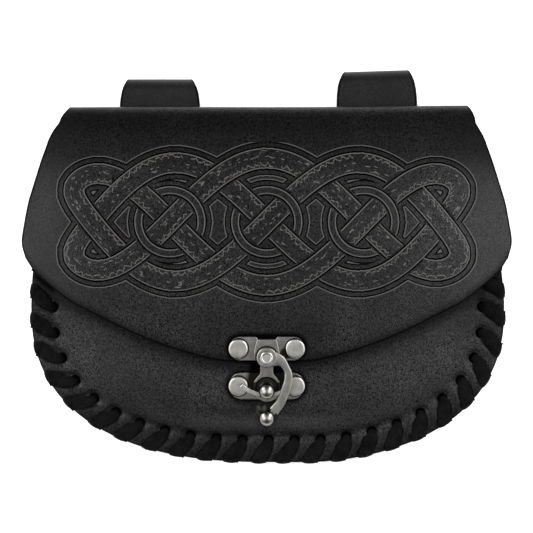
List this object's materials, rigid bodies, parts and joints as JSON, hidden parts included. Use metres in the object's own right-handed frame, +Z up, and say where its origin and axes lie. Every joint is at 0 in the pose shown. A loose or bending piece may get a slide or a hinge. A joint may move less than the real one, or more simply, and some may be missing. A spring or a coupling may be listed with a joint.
{
  "type": "belt pouch",
  "caption": "Half-round leather belt pouch with a broad embossed flap, laced rim, belt loops behind and a metal swing clasp.",
  "frame": {"origin": "on the surface that the pouch lies on, under the middle of its bounding box", "axes": "+X to the pouch's right as seen from its front, +Y to its top where the belt goes, +Z up, out of its front; it lies on its back"},
  "size_m": [0.1902, 0.1534, 0.0312],
  "materials": {
    "leather": "black, fine matte grain, satin on the folds",
    "lace": "black suede, matte",
    "metal": "satin, darkened cast metal with polished balls"
  },
  "bodies": {
    "pouch": {"back_flap": "leather", "front_panel": "leather", "lacing": "lace", "belt_loop_left": "leather", "belt_loop_right": "leather", "loop_rivet_left_lower": "metal", "loop_rivet_left_upper": "metal", "loop_rivet_right_lower": "metal", "loop_rivet_right_upper": "metal", "clasp_upper_plate": "metal", "clasp_lower_plate": "metal", "plate_rivet_upper_left": "metal", "plate_rivet_upper_right": "metal", "plate_rivet_lower_left": "metal", "plate_rivet_lower_right": "metal", "clasp_post": "metal", "clasp_pivot": "metal"},
    "hook": {"swing_hook": "metal"}
  },
  "joints": [
    {"name": "hook_swing", "type": "hinge", "parent": "pouch", "child": "hook", "pos_m": [0, -0.03508, 0.02165], "axis": [0, -0.2084, 0.9781], "range_deg": [0, 90]}
  ]
}
